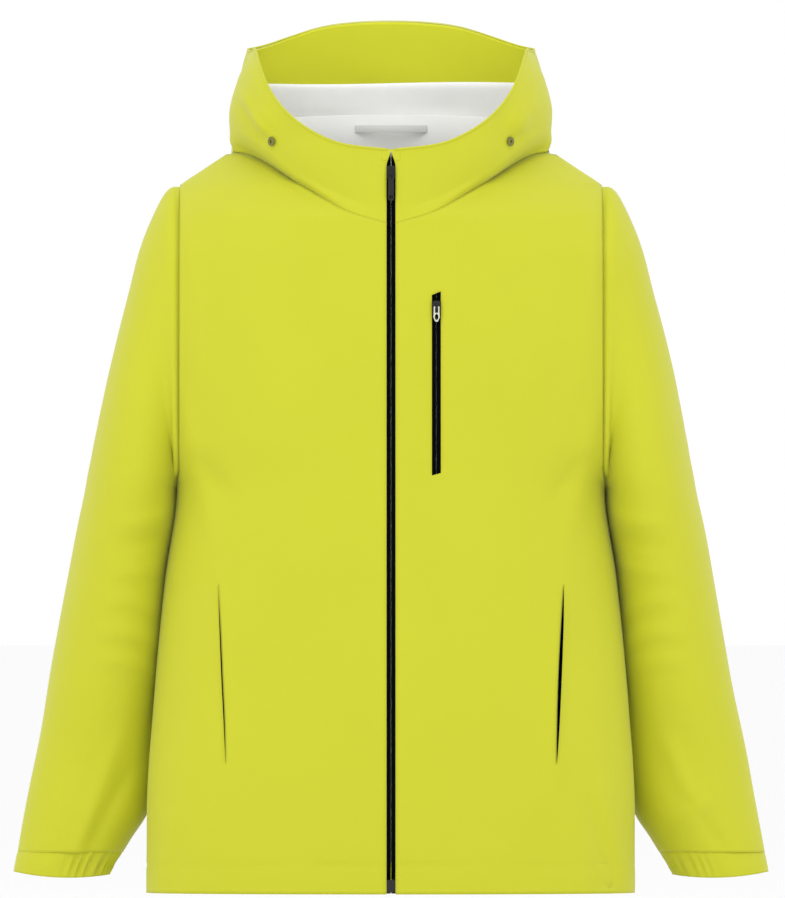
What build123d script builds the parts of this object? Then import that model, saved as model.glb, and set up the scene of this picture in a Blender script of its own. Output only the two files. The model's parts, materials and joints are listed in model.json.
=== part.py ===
"""A hooded hardshell jacket, closed to the chin, hanging in the shape of the wearer with the hood folded back.

Frame: millimetres, +X to the wearer's left, +Y to the back, +Z up. The origin is where a hook bears on the hang
loop inside the back of the neck. Shapes are laid out by three distances: x across from the middle, depth back from
the mid plane of the body, and height up from the hem.
"""

import os
from math import cos, pi, radians, sin

from build123d import *

os.makedirs("parts", exist_ok=True)

# Driving dimensions
LOOP_HEIGHT = 724.0  # hem to hang loop
LOOP_DEPTH = 56.0  # mid plane of the body to hang loop
CLOTH = 1.5  # wall of a fabric shell
LINING = 0.8  # wall of a lining or a facing
GAP = 0.3  # between neighbouring layers
FRONT = 112.0  # mid plane to the front closure
NECK_FRONT = 635.0  # height of the neck seam at the closure
NECK_SIDE = 706.0  # ... where it crosses the shoulder
NECK_BACK = 736.0  # ... at the centre back
RIDGE = 772.0  # height of the fold where the hood turns back
HOOD_TOP = 833.0
ARMPIT = 385.0  # height of the armpit
ARMHOLE = 201.0  # across, the plane of the armhole seam
SHOULDER_DEPTH = 12.0  # depth of the side and shoulder seams
SLOT = 4.25  # half the gap in the cloth that shows a zip
ZIP_TOP = 700.0
CHEST_ZIP_X = 43.0
CHEST_ZIP = (398.0, 567.0)  # heights of its ends
HEAD_NEAR = 3.0  # armpit to the near edge of the sleeve head
CUFF_TOP = 38.0
CUFF_END = 16.0
HEM = -LOOP_HEIGHT
MID = -LOOP_DEPTH

# Level sections: height, half width, front, back, depth of the widest line, squareness in front and behind
BODY = [
    (-12, 232, 112, 108, 0, 2.4, 2.4),
    (75, 232, 112, 108, 0, 2.4, 2.4),
    (180, 226, 112, 108, 0, 2.4, 2.4),
    (300, 215, 112, 110, 0, 2.4, 2.4),
    (ARMPIT, 204, 112, 113, 0, 2.4, 2.4),
    (430, 222, 112, 115, 0, 2.4, 2.4),
    (520, 236, 112, 117, 0, 2.4, 2.4),
    (600, 232, 112, 113, 3, 2.2, 2.3),
    (640, 221, 112, 106, 6, 1.9, 2.1),
    (668, 206, 91, 97, 10, 1.7, 2.1),
    (690, 176, 62, 86, 16, 1.6, 2.6),
    (708, 149, 27, 78, 21, 1.6, 3.6),
    (748, 92, -22, 70, 40, 2.0, 4.5),
]
# The hood from the neck seam to its upper edge
COLLAR = [
    (622, 92, 112, 60, 0, 1.8, 2.4),
    (672, 128, 112, 68, 8, 1.8, 3.0),
    (711, 151, 112, 72, 22, 1.8, 4.0),
    (740, 153, 110, 72, 28, 1.9, 4.5),
    (772, 146, 106, 71, 34, 2.0, 4.5),
    (815, 124, 96, 68, 40, 2.0, 4.5),
]
# The pouch that the folded hood makes behind the neck
POUCH = [
    (560, 62, -139, 158, 148, 3, 3),
    (578, 100, -128, 172, 148, 3, 3),
    (612, 130, -119, 183, 148, 3, 3),
    (660, 147, -108, 187, 144, 4, 3),
    (NECK_SIDE, 152, -92, 185, 134, 5, 3),
    (745, 151, -76, 180, 124, 6, 3),
    (790, 142, -75, 170, 118, 6, 3),
    (845, 116, -78, 154, 114, 6, 3),
]
# The left sleeve below the armpit: height, inner edge, outer edge, centre depth, half depth
SLEEVE = [
    (CUFF_END - 8, 272, 362, 44, 37),
    (CUFF_END + 4, 266, 359.5, 44, 39),
    (50, 248, 354.5, 45, 44),
    (78, 231, 349.5, 46, 49),
    (120, 224, 341.5, 46, 53),
    (200, 223, 326, 40, 62),
    (300, 218, 307, 26, 72),
    (ARMPIT + 6, 206.5, 290, 10, 78),
]
# The sleeve head as a fan about the armpit: angle up from level, outer reach, centre depth, half depth
SLEEVE_HEAD = [
    (0, 88, 10, 77.5),
    (30, 93, 8, 77),
    (60, 133, 6, 74),
    (75, 190, 5, 70),
    (82, 245, 5, 68),
    (86.5, 281, 5, 66),
    (89, 289, 5, 65),
]
# The neck seam and the hood's upper edge, seen from the front
NECK_SEAM = [(0, NECK_FRONT), (37, 646), (86, 673), (143, NECK_SIDE), (165, NECK_SIDE)]
NECK_SEAM_BACK = [(0, NECK_BACK), (55, 734), (100, 726), (143, NECK_SIDE), (165, NECK_SIDE)]
HOOD_EDGE = [(0, 706), (44, 711), (72, 722), (96, 739), (115, 763), (123, 782), (130, 804)]
HOOD_CROWN = [(0, HOOD_TOP), (58, 828), (96, 817), (130, 804)]

made = {}


def at(x, depth, height):
    """A point of the frame from its distance across, its depth and its height above the hem."""
    return (x, MID + depth, HEM + height)


def save(name, part):
    """Labels a finished piece and writes it."""
    part.label = name
    made[name] = part
    export_step(part, f"parts/{name}.step")


def save_pair(stem, left):
    """Writes a piece of the wearer's left side and its mirror image on the right."""
    save(f"{stem}_left", left)
    save(f"{stem}_right", mirror(left, about=Plane.YZ))


def rounded(half_width, front, back, widest, square_front, square_back, count=28):
    """Points round a level section, a superellipse with its own depth and squareness in front and behind."""
    points = []
    for i in range(count):
        across, along = sin(2 * pi * i / count), cos(2 * pi * i / count)
        reach, power = (front + widest, square_front) if along > 0 else (back - widest, square_back)
        x = half_width * abs(across) ** (2 / power)
        depth = reach * abs(along) ** (2 / power)
        points.append((x if across > 0 else -x, MID + widest + (-depth if along > 0 else depth)))
    return points


def loft_through(outlines):
    """A solid through closed outlines, each a plane and the points of a smooth curve on it."""
    with BuildPart() as body:
        for plane, points in outlines:
            with BuildSketch(plane):
                with BuildLine():
                    Spline(*points, periodic=True)
                make_face()
        loft(ruled=True)
    return body.part


def stack(sections, inset=0.0):
    """A solid through level sections, each drawn in by inset."""
    return loft_through(
        (Plane.XY.offset(HEM + height), rounded(wide - inset, front - inset, back - inset, *shape))
        for height, wide, front, back, *shape in sections
    )


def shell(sections, outer=0.0, wall=CLOTH):
    """The wall between two insets of the same sections."""
    with BuildPart() as skin:
        add(stack(sections, outer))
        add(stack(sections, outer + wall), mode=Mode.SUBTRACT)
    return skin.part


def block(x, depth, height):
    """A box from its (low, high) limits across, in depth and in height above the hem."""
    low, high = zip(x, depth, height)
    with BuildPart() as box:
        with Locations((Vector(at(*low)) + Vector(at(*high))) / 2):
            Box(*(b - a for a, b in zip(low, high)))
    return box.part


def above(outline, depth, top=900.0):
    """Everything above a line seen from the front and mirrored about the middle, over a range of depth."""
    side = outline[-1][0]
    across = [(-x, h) for x, h in reversed(outline[1:])] + list(outline)
    start, end = depth
    with BuildPart() as region:
        with BuildSketch(Plane.XZ.offset(-(MID + end))):
            with BuildLine():
                Polyline(*[(x, HEM + h) for x, h in across])
                Polyline((side, HEM + outline[-1][1]), (side, HEM + top), (-side, HEM + top),
                         (-side, HEM + outline[-1][1]))
            make_face()
        extrude(amount=end - start)
    return region.part


def keep(part, *regions):
    """The piece inside every region."""
    with BuildPart() as kept:
        add(part)
        for region in regions:
            add(region, mode=Mode.INTERSECT)
    return kept.part


def cut(part, *regions):
    """The piece outside every region."""
    with BuildPart() as left_over:
        add(part)
        for region in regions:
            add(region, mode=Mode.SUBTRACT)
    return left_over.part


def neck_hole():
    """Everything above the neck seam."""
    with BuildPart() as hole:
        add(above(NECK_SEAM, (-200, SHOULDER_DEPTH + 3)))
        add(above(NECK_SEAM_BACK, (SHOULDER_DEPTH, 200)))
    return hole.part


WIDE = (-400.0, 400.0)
NECK_HOLE = neck_hole()


# Body panels
def body_panels():
    """The two fronts and the back, open at the neck, the armholes and the hem."""
    skin = cut(
        shell(BODY),
        NECK_HOLE,
        block((ARMHOLE, 300), (-200, 200), (ARMPIT, 900)),
        block((-300, -ARMHOLE), (-200, 200), (ARMPIT, 900)),
        block(WIDE, (-200, 200), (-50, 0)),
    )
    front = keep(skin, block((SLOT, 400), (-200, SHOULDER_DEPTH), (-50, 900)))
    slit = cut(front, hand_slot())
    save("front_panel_right", mirror(slit, about=Plane.YZ))
    low, high = CHEST_ZIP
    chest_slot = block((CHEST_ZIP_X - SLOT, CHEST_ZIP_X + SLOT), (-130, -100), (low, high))
    save("front_panel_left", cut(slit, chest_slot))
    save("back_panel", keep(skin, block(WIDE, (SHOULDER_DEPTH, 200), (-50, 900))))


# Zips. Each is built about its own line: across in X, into the jacket in Y, and up in Z from a zero on the cloth
TAPE_DEPTH = 2.1
TAPE_WALL = 0.8
TAPE_PARTING = 0.6
TAPE_WIDTH = 14.0
COIL_DEPTH = TAPE_DEPTH + TAPE_WALL + 0.2
COIL_WALL = 2.0
COIL_WIDTH = 2.4
SLIDER_HALF = 6.5
PLATE_WIDTH = 7.8
PLATE_CORNER = 2.2
PLATE_FRONT = -0.5
BACK_PLATE = (COIL_DEPTH + COIL_WALL + GAP, COIL_DEPTH + COIL_WALL + GAP + 1.5)
BACK_PLATE_WIDTH = 9.0
WEB = 0.5  # thickness of the slider between the two tapes
BAIL_FRONT = 3.6
BAIL_WIDTH = 2.4
BAIL_HEIGHT = 4.4
BAIL_PIN = -2.0  # depth of the puller's pin
PIN_RADIUS = 0.65
PIN_FIT = 0.1  # radial clearance of a puller's pin in the bail
PULLER_LENGTH = 27.0
PULLER_WIDTH = 5.6
PULLER_WALL = 1.4
PULLER_EYE = 1.6
EYE_DROP = 23.0


def zip_line(x, depth, height, turn=0.0):
    """The line of a zip: a plane on the cloth that looks into the jacket along Y, turned about Z."""
    return Location(at(x, depth, height), (0, 0, turn))


def strip(side, x, y, z):
    """A straight strip of a zip on one side of its line."""
    low_x, high_x = sorted((side * x[0], side * x[1]))
    with BuildPart() as piece:
        with Locations(((low_x + high_x) / 2, sum(y) / 2, sum(z) / 2)):
            Box(high_x - low_x, y[1] - y[0], z[1] - z[0])
    return piece.part


def tape(side, z):
    """The woven tape along one side of a zip."""
    return strip(side, (TAPE_PARTING, TAPE_PARTING + TAPE_WIDTH), (TAPE_DEPTH, TAPE_DEPTH + TAPE_WALL), z)


def coil(side, z):
    """The coil of teeth along one side, on the inner face of the tape."""
    return strip(side, (TAPE_PARTING, TAPE_PARTING + COIL_WIDTH), (COIL_DEPTH, COIL_DEPTH + COIL_WALL), z)


def both_sides(strip_of, z):
    """A pair of tapes or coils, one on each side of the line."""
    with BuildPart() as pair:
        for side in (1, -1):
            add(strip_of(side, z))
    return pair.part


def slider():
    """A slider: a front plate with a bail, a web between the tapes, and a back plate."""
    with BuildPart() as body:
        with Locations((0, (PLATE_FRONT + TAPE_DEPTH - GAP) / 2, 0)):
            Box(PLATE_WIDTH, TAPE_DEPTH - GAP - PLATE_FRONT, 2 * SLIDER_HALF)
        fillet(body.edges().filter_by(Axis.Y), PLATE_CORNER)
        with Locations((0, (TAPE_DEPTH - GAP + BACK_PLATE[0]) / 2, 0)):
            Box(WEB, BACK_PLATE[0] - TAPE_DEPTH + GAP, 2 * SLIDER_HALF - 2)
        with Locations((0, sum(BACK_PLATE) / 2, 0)):
            Box(BACK_PLATE_WIDTH, BACK_PLATE[1] - BACK_PLATE[0], 2 * SLIDER_HALF - 1)
        with Locations((0, (PLATE_FRONT - BAIL_FRONT) / 2, 0)):
            Box(BAIL_WIDTH, BAIL_FRONT + PLATE_FRONT, BAIL_HEIGHT)
        with BuildSketch(Plane.YZ):
            with Locations((BAIL_PIN, 0)):
                Circle(PIN_RADIUS + PIN_FIT)
        extrude(amount=BAIL_WIDTH, both=True, mode=Mode.SUBTRACT)
    return body.part


def puller():
    """A puller on its pin, hanging down, with an eye for a cord near its end."""
    with BuildPart() as tab:
        with BuildSketch(Plane.XZ.offset(-BAIL_PIN)):
            with Locations((0, -(PULLER_LENGTH + 5) / 2)):
                Rectangle(PULLER_WIDTH, PULLER_LENGTH - 5)
            with Locations((2.1, -2.4), (-2.1, -2.4)):
                Rectangle(1.2, 6.6)
        extrude(amount=PULLER_WALL / 2, both=True)
        bottom = tab.edges().filter_by(Axis.Y).group_by(Axis.Z)[0]
        fillet(bottom, 2.6)
        with BuildSketch(Plane.YZ):
            with Locations((BAIL_PIN, 0)):
                Circle(PIN_RADIUS)
        extrude(amount=2.7, both=True)
        with BuildSketch(Plane.XZ.offset(-BAIL_PIN)):
            with Locations((0, -EYE_DROP)):
                Circle(PULLER_EYE)
        extrude(amount=2, both=True, mode=Mode.SUBTRACT)
    return tab.part


MAIN_LINE = zip_line(0, -FRONT, 0)
CHEST_LINE = zip_line(CHEST_ZIP_X, -FRONT + 1.3, 0, turn=3.6)
MAIN_SLIDER_HEIGHT = 684.0
CHEST_SLIDER_HEIGHT = 556.0
BOX_TOP = 15.0
BOX = (8.4, 4.4, 12.0)  # width, thickness and height of the retainer box
INSERTION_PIN = (1.7, 2.6)  # across and in depth from the zip's line
INSERTION_RADIUS = 0.95


def main_zip():
    """The front closure from the hem to the chin, with its end fittings."""
    for side, hand in ((1, "left"), (-1, "right")):
        with BuildPart() as band:
            add(tape(side, (0.5, ZIP_TOP)))
            add(strip(side, (0, 5), (0, 4), (0, BOX_TOP)), mode=Mode.SUBTRACT)
            add(strip(side, (7.6, 20), (0, 4), (NECK_FRONT - 3, 800)), mode=Mode.SUBTRACT)
        save(f"main_zip_tape_{hand}", band.part.moved(MAIN_LINE))
        save(f"main_zip_coil_{hand}", coil(side, (BOX_TOP + 1, ZIP_TOP - 7)).moved(MAIN_LINE))
    with BuildPart() as stops:
        for side in (1, -1):
            add(strip(side, (0.8, 3.2), (COIL_DEPTH, COIL_DEPTH + COIL_WALL + 0.6), (ZIP_TOP - 6.5, ZIP_TOP - 2)))
    save("main_zip_top_stops", stops.part.moved(MAIN_LINE))
    with BuildPart() as box:
        with Locations((0, INSERTION_PIN[1], BOX[2] / 2 + 1.8)):
            Box(*BOX)
        fillet(box.edges().filter_by(Axis.Y), 1.2)
        with BuildSketch(Plane.XY):
            with Locations(INSERTION_PIN):
                Circle(INSERTION_RADIUS + 0.1)
        extrude(amount=20, mode=Mode.SUBTRACT)
    save("main_zip_retainer_box", box.part.moved(MAIN_LINE))
    with BuildPart() as pin:
        with BuildSketch(Plane.XY.offset(2.2)):
            with Locations(INSERTION_PIN):
                Circle(INSERTION_RADIUS)
        extrude(amount=12.6)
    save("main_zip_insertion_pin", pin.part.moved(MAIN_LINE))
    there = MAIN_LINE * Location((0, 0, MAIN_SLIDER_HEIGHT))
    save("main_zip_slider", slider().moved(there))
    save("main_zip_puller", puller().moved(there))


def zip_garage():
    """The cap of cloth over the top of the closure, with a pointed opening for the slider."""
    with BuildPart() as cap:
        with BuildSketch(Plane.XZ.offset(FRONT - MID + 0.25)):
            with BuildLine():
                Polyline((-9, HEM + 691.5), (-9, HEM + 705), (9, HEM + 705), (9, HEM + 691.5),
                         (SLOT, HEM + 691.5), (0, HEM + 702), (-SLOT, HEM + 691.5), (-9, HEM + 691.5))
            make_face()
        extrude(amount=0.9)
    save("main_zip_garage", cap.part)


def storm_flap():
    """The strip behind the closure that keeps wind and water out."""
    save("storm_flap", block((-18, 14), (-FRONT + 7.6, -FRONT + 8.6), (30, ZIP_TOP - 14)))


def chest_zip():
    """The chest pocket's zip with its slider at the top, and the pocket bag behind it."""
    low, high = CHEST_ZIP
    save("chest_zip_tape", both_sides(tape, (low - 8, high + 8)).moved(CHEST_LINE))
    save("chest_zip_coil", both_sides(coil, (low - 2, high + 2)).moved(CHEST_LINE))
    there = CHEST_LINE * Location((0, 0, CHEST_SLIDER_HEIGHT))
    save("chest_zip_slider", slider().moved(there))
    with BuildPart() as loop:
        with BuildSketch(Plane.XZ.offset(-BAIL_PIN)):
            with BuildLine():
                FilletPolyline((2.7, 1.1), (2.7, -4.4), (3.1, -9.0), (1.2, -13.4), (-1.2, -13.4), (-3.1, -9.0),
                               (-2.7, -4.4), (-2.7, 1.1), radius=[4, 2.4, 1, 1, 2.4, 4])
                Line((-2.7, 1.1), (2.7, 1.1))
            make_face()
            with Locations((0, -1.9)):
                Rectangle(3.0, 6.2, mode=Mode.SUBTRACT)
            with Locations((0, -8.9)):
                Ellipse(1.7, 2.9, mode=Mode.SUBTRACT)
        extrude(amount=PULLER_WALL / 2, both=True)
        with BuildSketch(Plane.YZ):
            with Locations((BAIL_PIN, 0)):
                Circle(PIN_RADIUS)
        extrude(amount=2.4, both=True)
    save("chest_zip_puller", loop.part.moved(there))
    save("chest_pocket_bag", block((22, 106), (-99, -96.5), (low - 4, high + 14)))


# Hand pockets
HAND_TURN = 24.0  # the cloth there faces out by this angle
HAND_LEAN = (3.5, 3.9)  # across and in depth, half the shift of the slit from one end to the other
HAND_MID = (160.5, -87.0, 208.0)
HAND_HALF = 86.0
HAND_SET_IN = 6.0
HAND_SLIDER_UP = 72.0
_along = Vector(2 * HAND_LEAN[0], 2 * HAND_LEAN[1], 2 * HAND_HALF).normalized()
_across = Vector(cos(radians(HAND_TURN)), sin(radians(HAND_TURN)), 0)
HAND_PLANE = Plane(origin=at(*HAND_MID), x_dir=_across - _along * _across.dot(_along), z_dir=_along)


def hand_slot():
    """The slit in the front panel, along the line of the hand pocket."""
    with BuildPart() as slot:
        Box(3.2, 16, 2 * HAND_HALF)
    return slot.part.moved(HAND_PLANE.location)


def hand_pockets():
    """On each side: a zip behind the slit, its slider, the slit's welt, and the pocket bag."""
    set_in = HAND_PLANE.location * Location((0, HAND_SET_IN, 0))
    ends = (-HAND_HALF, HAND_HALF)
    save_pair("hand_zip_tape", both_sides(tape, ends).moved(set_in))
    save_pair("hand_zip_coil", both_sides(coil, (ends[0] + 4, ends[1] - 4)).moved(set_in))
    save_pair("hand_zip_slider", slider().moved(set_in * Location((0, 0, HAND_SLIDER_UP))))
    with BuildPart() as welt:
        with Locations((-7.0, 4.6, 0)):
            Box(10, 1.0, 2 * HAND_HALF + 8)
    save_pair("hand_pocket_welt", welt.part.moved(HAND_PLANE.location))
    bag_line = Location(at(98, -91, 208), (0, 0, 11.3))
    with BuildPart() as bag:
        Box(86, 2.5, 2 * HAND_HALF + 14)
        fillet(bag.edges().filter_by(Axis.Y), 18)
    save_pair("hand_pocket_bag", bag.part.moved(bag_line))


# Hem
TUNNEL = 6.0  # width of the cord tunnel
CORD = 2.0
CORD_HEIGHT = 13.4
LOCK = (5.4, 12.0, 12.0)  # thickness, length and height of a cord lock
LOCK_HOLE = -3.2  # its cord hole, from its middle
CORD_BORE = 1.5
BUTTON_RADIUS = 1.7


def hem():
    """The facing inside the hem, the elastic cord in its tunnel, and a cord lock at each side."""
    open_front = block((-17, 17), (-200, 0), (-50, 100))
    hollow = keep(shell(BODY, CLOTH, TUNNEL), block(WIDE, (-200, 200), (2, 28)))
    folded = keep(shell(BODY, CLOTH + GAP, TUNNEL + LINING - GAP), block(WIDE, (-200, 200), (1, 29)))
    save("hem_facing", cut(folded, hollow, open_front))
    middle = CLOTH + TUNNEL / 2
    cord_level = block(WIDE, (-200, 200), (CORD_HEIGHT - CORD / 2, CORD_HEIGHT + CORD / 2))
    save("hem_drawcord", cut(keep(shell(BODY, middle - CORD / 2, CORD), cord_level), open_front))
    barrel, button = cord_lock()
    there = Location(at(BODY[0][1] - middle, 0, CORD_HEIGHT - LOCK_HOLE))
    save_pair("hem_cord_lock", barrel.moved(there))
    save_pair("hem_lock_button", button.moved(there))


def cord_lock():
    """A flat cord lock standing upright, with a cross hole for the cord, and its sprung button."""
    with BuildPart() as barrel:
        Box(*LOCK)
        fillet(barrel.edges().filter_by(Axis.X), 2.5)
        with BuildSketch(Plane.XY.offset(-1)):
            Circle(BUTTON_RADIUS + GAP)
        extrude(amount=8, mode=Mode.SUBTRACT)
        with BuildSketch(Plane.XZ):
            with Locations((0, LOCK_HOLE)):
                Circle(CORD_BORE)
        extrude(amount=8, both=True, mode=Mode.SUBTRACT)
    with BuildPart() as button:
        with BuildSketch(Plane.XY.offset(2.6)):
            Circle(BUTTON_RADIUS)
        extrude(amount=6.6)
        fillet(button.faces().sort_by(Axis.Z)[-1].edges(), 0.8)
    return barrel.part, button.part


# Sleeves
def oval(low, high, depth, half_depth, inset):
    """Points round an ellipse between two distances across."""
    half, middle = (high - low) / 2 - inset, (high + low) / 2
    reach = half_depth - inset
    return [(middle + half * sin(a), depth - reach * cos(a)) for a in (2 * pi * i / 20 for i in range(20))]


def tube(sections, inset=0.0):
    """A solid sleeve through level ellipses, drawn in by inset."""
    return loft_through(
        (Plane.XY.offset(HEM + height), oval(inner, outer, MID + depth, half_depth, inset))
        for height, inner, outer, depth, half_depth in sections
    )


def head(inset=0.0):
    """A solid sleeve head through ellipses that fan up from the armpit."""
    hinge = at(ARMHOLE, 0, ARMPIT)
    outlines = []
    for angle, reach, depth, half_depth in SLEEVE_HEAD:
        c, s = cos(radians(angle)), sin(radians(angle))
        fan = Plane(origin=hinge, x_dir=(c, 0, s), z_dir=(-s, 0, c))
        outlines.append((fan, oval(HEAD_NEAR, reach, depth, half_depth, inset)))
    with BuildPart() as cap:
        for pair in zip(outlines, outlines[1:]):
            add(loft_through(pair))
    return cap.part


def sleeves():
    """The sleeve, its head over the shoulder, and the cuff with elastic round its inner half."""
    arm = cut(tube(SLEEVE), tube(SLEEVE, CLOTH))
    reach = (-200, 200)
    save_pair("sleeve", keep(arm, block((150, 400), reach, (CUFF_TOP, ARMPIT - GAP))))
    save_pair("cuff", keep(arm, block((150, 400), reach, (CUFF_END, CUFF_TOP))))
    band = cut(tube(SLEEVE, CLOTH + GAP), tube(SLEEVE, CLOTH + GAP + 1.2))
    inner_half = block((150, 312), reach, (CUFF_END + 3, CUFF_END + 17))
    save_pair("cuff_elastic", keep(band, inner_half))
    save_pair("sleeve_head", cut(head(), head(CLOTH)))


# Hood
EYELET = (112.5, -58.8, 714.0)  # where the hood cord comes through the collar
EYELET_TURN = 46.0  # the cloth there faces out by this angle
EYELET_BORE = 1.7
EYELET_BARREL = 2.6
EYELET_RIM = 4.4
HOOD_LOCK = (117.4, -46.7, 733.0)
HOOD_LOCK_TURN = -40.0
FOLD_HALF = 125.0  # half the width of the fold behind the neck
NECK_FACING = (120.0, (NECK_BACK - 36, NECK_BACK + 5))  # half width, and heights
POUCH_BACK = 104.0


def hood():
    """The collar round the neck, the pouch of the folded hood, and their facings and linings."""
    ridge = block((-FOLD_HALF, FOLD_HALF), (60, POUCH_BACK), (RIDGE, 900))
    high = block(WIDE, (-200, 200), (HOOD_CROWN[-1][1], 900))
    ring = keep(cut(shell(COLLAR), above(HOOD_EDGE, (-200, 60)), ridge, high), NECK_HOLE)
    with BuildPart() as punch:
        Cylinder(EYELET_BARREL + 0.1, 12, rotation=(90, 0, 0))
    sides = keep(ring, block((SLOT, 400), (-200, 60), (600, 900)))
    save_pair("hood_collar", cut(sides, eyelet_at(punch.part)))
    save("hood_neck_panel", keep(ring, block(WIDE, (60, 200), (600, 900))))
    with BuildPart() as eyelet:
        Cylinder(EYELET_BARREL, 3.2, rotation=(90, 0, 0))
        with Locations((0, -1.6, 0)):
            Cylinder(EYELET_RIM, 0.8, rotation=(90, 0, 0))
        Cylinder(EYELET_BORE, 6, rotation=(90, 0, 0), mode=Mode.SUBTRACT)
    save_pair("hood_eyelet", eyelet_at(eyelet.part))
    barrel, button = cord_lock()
    there = Location(at(*HOOD_LOCK), (0, 0, HOOD_LOCK_TURN))
    save_pair("hood_cord_lock", barrel.moved(there))
    save_pair("hood_lock_button", button.moved(there))
    pouch()
    lining = shell(COLLAR, CLOTH + GAP, LINING)
    below_edge = cut(lining, above([(0, 702), (44, 706), (70, 716)], (-200, 20)))
    save_pair("chin_lining", keep(below_edge, NECK_HOLE, block((16, 70), (-200, 0), (640, 720))))
    inner = shell(COLLAR, CLOTH + GAP + 2, LINING)
    save("neck_facing", keep(inner, block((-NECK_FACING[0], NECK_FACING[0]), (40, 200), NECK_FACING[1])))


def eyelet_at(part):
    """Places a piece that looks out along -Y at the hood cord's eyelet."""
    return part.moved(Location(at(*EYELET), (0, 0, EYELET_TURN)))


def pouch():
    """The pouch of the folded hood, open at the top, and the facing inside its upper edge."""
    floor = [(POUCH[0][0] + 3, *POUCH[0][1:])] + POUCH[1:]
    open_top = [
        above(HOOD_CROWN + [(170, 780)], (60, 250)),
        block((-FOLD_HALF, FOLD_HALF), (60, POUCH_BACK), (RIDGE, 900)),
    ]
    save("hood_pouch", cut(stack(POUCH), stack(floor, CLOTH), *open_top))
    band = cut(shell(floor, CLOTH + GAP, LINING), *open_top)
    save("hood_brim_facing", keep(band, block((-128, 128), (125, 250), (768, HOOD_TOP - 2))))


def hang_loop():
    """A tape that bows forward from the neck facing, so that a hook can pass behind it."""
    with BuildPart() as loop:
        with BuildSketch(Plane.XY):
            with BuildLine():
                outer = Spline((-34, 10.2), (-27, 6.0), (0, -0.6), (27, 6.0), (34, 10.2))
                inner = Spline((-34, 11.4), (-27, 7.3), (0, 0.6), (27, 7.3), (34, 11.4))
                Line(outer @ 0, inner @ 0)
                Line(outer @ 1, inner @ 1)
            make_face()
        extrude(amount=7)
    save("hang_loop", loop.part)


body_panels()
main_zip()
zip_garage()
storm_flap()
chest_zip()
hand_pockets()
hem()
sleeves()
hood()
hang_loop()

for label, part in made.items():
    box = part.bounding_box()
    print(f"{label:26s} {part.volume / 1000:8.2f} cm3  solids {len(part.solids())}  "
          f"z {box.min.Z:7.1f} .. {box.max.Z:7.1f}")
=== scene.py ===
"""The looks of a hooded hardshell jacket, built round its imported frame.

Shapes are laid out in millimetres by three distances: x across from the middle, depth back from the mid
plane of the body, and height up from the hem. place() turns them into the row frame. Each shell is a grid of
points on a smooth surface, with gentle folds, and Solidify gives it thickness and a white backer inside.
"""

import json
import math

import bpy
import numpy as np
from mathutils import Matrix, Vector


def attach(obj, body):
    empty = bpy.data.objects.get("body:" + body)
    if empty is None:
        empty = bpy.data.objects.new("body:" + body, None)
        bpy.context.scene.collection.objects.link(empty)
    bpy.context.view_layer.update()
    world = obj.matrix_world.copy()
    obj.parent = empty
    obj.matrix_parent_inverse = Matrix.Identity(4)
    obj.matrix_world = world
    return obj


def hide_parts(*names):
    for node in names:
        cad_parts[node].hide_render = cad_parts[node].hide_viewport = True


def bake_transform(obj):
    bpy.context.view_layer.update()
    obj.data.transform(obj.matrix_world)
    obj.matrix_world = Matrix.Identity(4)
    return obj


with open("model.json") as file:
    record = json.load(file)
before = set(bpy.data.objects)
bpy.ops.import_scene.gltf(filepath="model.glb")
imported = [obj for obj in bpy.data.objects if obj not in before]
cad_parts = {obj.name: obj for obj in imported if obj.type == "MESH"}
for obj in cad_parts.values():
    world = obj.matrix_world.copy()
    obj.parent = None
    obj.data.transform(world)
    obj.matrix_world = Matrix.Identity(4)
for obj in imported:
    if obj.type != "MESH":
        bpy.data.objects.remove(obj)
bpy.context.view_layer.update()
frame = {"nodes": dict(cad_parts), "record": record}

MM = 0.001
LOOP_HEIGHT = 724.0  # the hang loop, where the row frame starts, above the hem
LOOP_DEPTH = 56.0
CLOTH = 1.0
FRONT = 112.0  # how far the flat of the front stands before the mid plane
SLOT = 4.25  # half the gap between the fronts, where a zip shows
SHOULDER_DEPTH = 12.0
ARMPIT = 385.0
ARMHOLE = 201.0  # how far across the armhole is cut
NECK_SIDE = 706.0  # height where the hood leaves the shoulders
RIDGE = 772.0  # top of the white fold behind the neck
CHEST_X = 43.0
CHEST_ZIP = (398.0, 567.0)
CUFF_TOP = 38.0
CUFF_END = 16.0
HEM_STITCH = 27.0
CORD_HEIGHT = 13.4
SIDES = (("left", 1), ("right", -1))


def place(points):
    """Points of the row frame, in metres, from points in the jacket's own millimetres."""
    return (np.asarray(points, float) - (0.0, LOOP_DEPTH, LOOP_HEIGHT)) * MM


# Curves and sections
def curve(rows):
    """A smooth function through rows of (key, value, ...) that adds no humps between them."""
    table = np.array(rows, float)
    x, y = table[:, 0], table[:, 1:]
    step = np.diff(x)[:, None]
    slope = np.diff(y, axis=0) / step
    tangent = np.zeros_like(y)
    tangent[0], tangent[-1] = slope[0], slope[-1]
    for i in range(1, len(x) - 1):
        before, after = slope[i - 1], slope[i]
        turns = before * after <= 0
        w0, w1 = 2 * step[i] + step[i - 1], step[i] + 2 * step[i - 1]
        mean = (w0 + w1) / (w0 / np.where(turns, 1, before) + w1 / np.where(turns, 1, after))
        tangent[i] = np.where(turns, 0, mean)

    def value(t):
        t = np.clip(np.asarray(t, float), x[0], x[-1])
        i = np.clip(np.searchsorted(x, t, side="right") - 1, 0, len(x) - 2)
        gap = (x[i + 1] - x[i])[..., None]
        s = (t - x[i])[..., None] / gap
        a = (1 + 2 * s) * (1 - s) ** 2 * y[i] + s * (1 - s) ** 2 * gap * tangent[i]
        b = s * s * (3 - 2 * s) * y[i + 1] + s * s * (s - 1) * gap * tangent[i + 1]
        return a + b

    return value


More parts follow.
